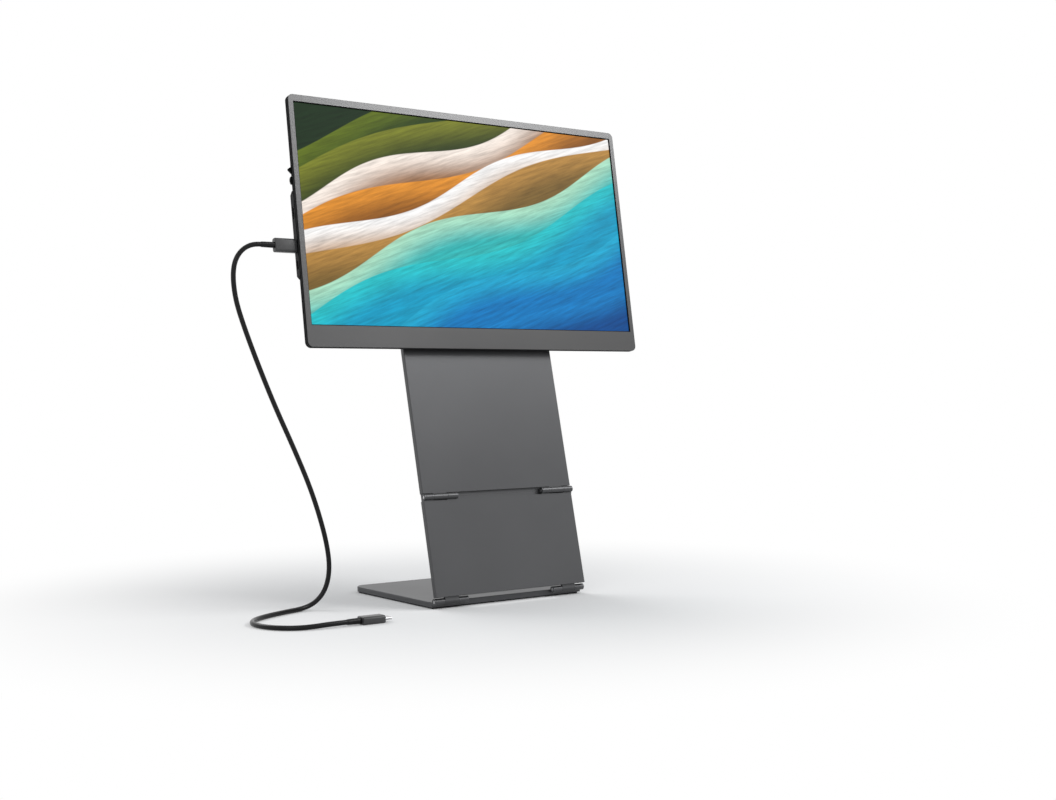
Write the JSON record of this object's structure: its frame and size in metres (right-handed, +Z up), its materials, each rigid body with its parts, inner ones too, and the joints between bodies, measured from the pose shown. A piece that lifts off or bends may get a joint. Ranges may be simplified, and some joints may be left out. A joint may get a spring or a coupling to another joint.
{
  "type": "laptop screen extender",
  "caption": "Portable second screen in a slim grey frame, held above a laptop by a flat folding stand, with its data cable.",
  "frame": {"origin": "centre of the foot's rubber mat, on its underside, where the stand rests on the table", "axes": "+X to the right seen from the front, +Y to the back, +Z up from the table"},
  "size_m": [0.4199, 0.178, 0.4414],
  "materials": {
    "grey_frame": "bead blasted and dark grey anodised, satin",
    "screen_glass": "satin anti-glare",
    "black_cover": "fine texture",
    "black_trim": "foam and film",
    "panel_white": "white light guide",
    "plain_steel": "zinc plated",
    "board_green": "solder mask",
    "chip_black": "moulded",
    "flex_amber": "polyimide film",
    "key_black": "satin",
    "stand_grey": "powder coated",
    "stand_alloy": "dark grey anodised",
    "black_rubber": "matt",
    "cable_black": "semi-gloss",
    "plug_grey": "satin",
    "plug_metal": "nickel plated"
  },
  "bodies": {
    "display": {"front_frame": "grey_frame", "panel_gasket": "black_trim", "display_glass": "screen_glass", "panel_backlight": "panel_white", "panel_tray": "plain_steel", "driver_board": "board_green", "panel_flex": "flex_amber", "rear_cover": "black_cover", "cover_screws": "plain_steel", "port_housing": "black_cover", "housing_screws": "plain_steel", "main_board": "board_green", "board_chips": "chip_black", "board_screws": "plain_steel", "usb_c_socket_upper": "plug_metal", "usb_c_socket_lower": "plug_metal", "video_socket": "plug_metal", "button_board": "board_green", "button_switches": "plain_steel", "hinge_bracket_left": "stand_grey", "hinge_bracket_right": "stand_grey", "bracket_screws": "plain_steel", "stow_pads": "black_rubber", "screen_plug_body": "plug_grey", "screen_plug_shell": "plug_metal", "screen_plug_relief": "cable_black", "far_plug_body": "plug_grey", "far_plug_shell": "plug_metal", "far_plug_relief": "cable_black", "usb_c_cable": "cable_black"},
    "upper_stand": {"upper_leaf": "stand_alloy", "tilt_hinge_shafts": "plain_steel", "tilt_hinge_washers": "plain_steel", "tilt_hinge_nuts": "plain_steel"},
    "lower_stand": {"lower_leaf": "stand_alloy", "middle_hinge_pins": "plain_steel"},
    "foot": {"foot_plate": "stand_grey", "foot_mat": "black_rubber", "foot_hinge_pins": "plain_steel"},
    "power_key": {"power_button": "key_black"},
    "menu_key": {"menu_rocker": "key_black"}
  },
  "joints": [
    {"name": "tilt_hinge", "type": "hinge", "parent": "display", "child": "upper_stand", "pos_m": [0, -0.02145, 0.23011], "axis": [1, 0, 0], "range_deg": [-15, 184.5]},
    {"name": "middle_hinge", "type": "hinge", "parent": "upper_stand", "child": "lower_stand", "pos_m": [0, -0.05674, 0.09512], "axis": [-1, 0, 0], "range_deg": [0, 180]},
    {"name": "foot_hinge", "type": "hinge", "parent": "lower_stand", "child": "foot", "pos_m": [0, -0.0723, 0.0063], "axis": [1, 0, 0], "range_deg": [-20, 76.5]},
    {"name": "power_press", "type": "slide", "parent": "display", "child": "power_key", "axis": [1, 0, 0], "range_m": [0, 0.0004], "stiffness_N_per_m": 1500},
    {"name": "menu_rock", "type": "hinge", "parent": "display", "child": "menu_key", "pos_m": [-0.17558, -0.00612, 0.37515], "axis": [0, 0.9877, -0.1564], "range_deg": [-3, 3], "stiffness_Nm_per_rad": 0.03}
  ]
}
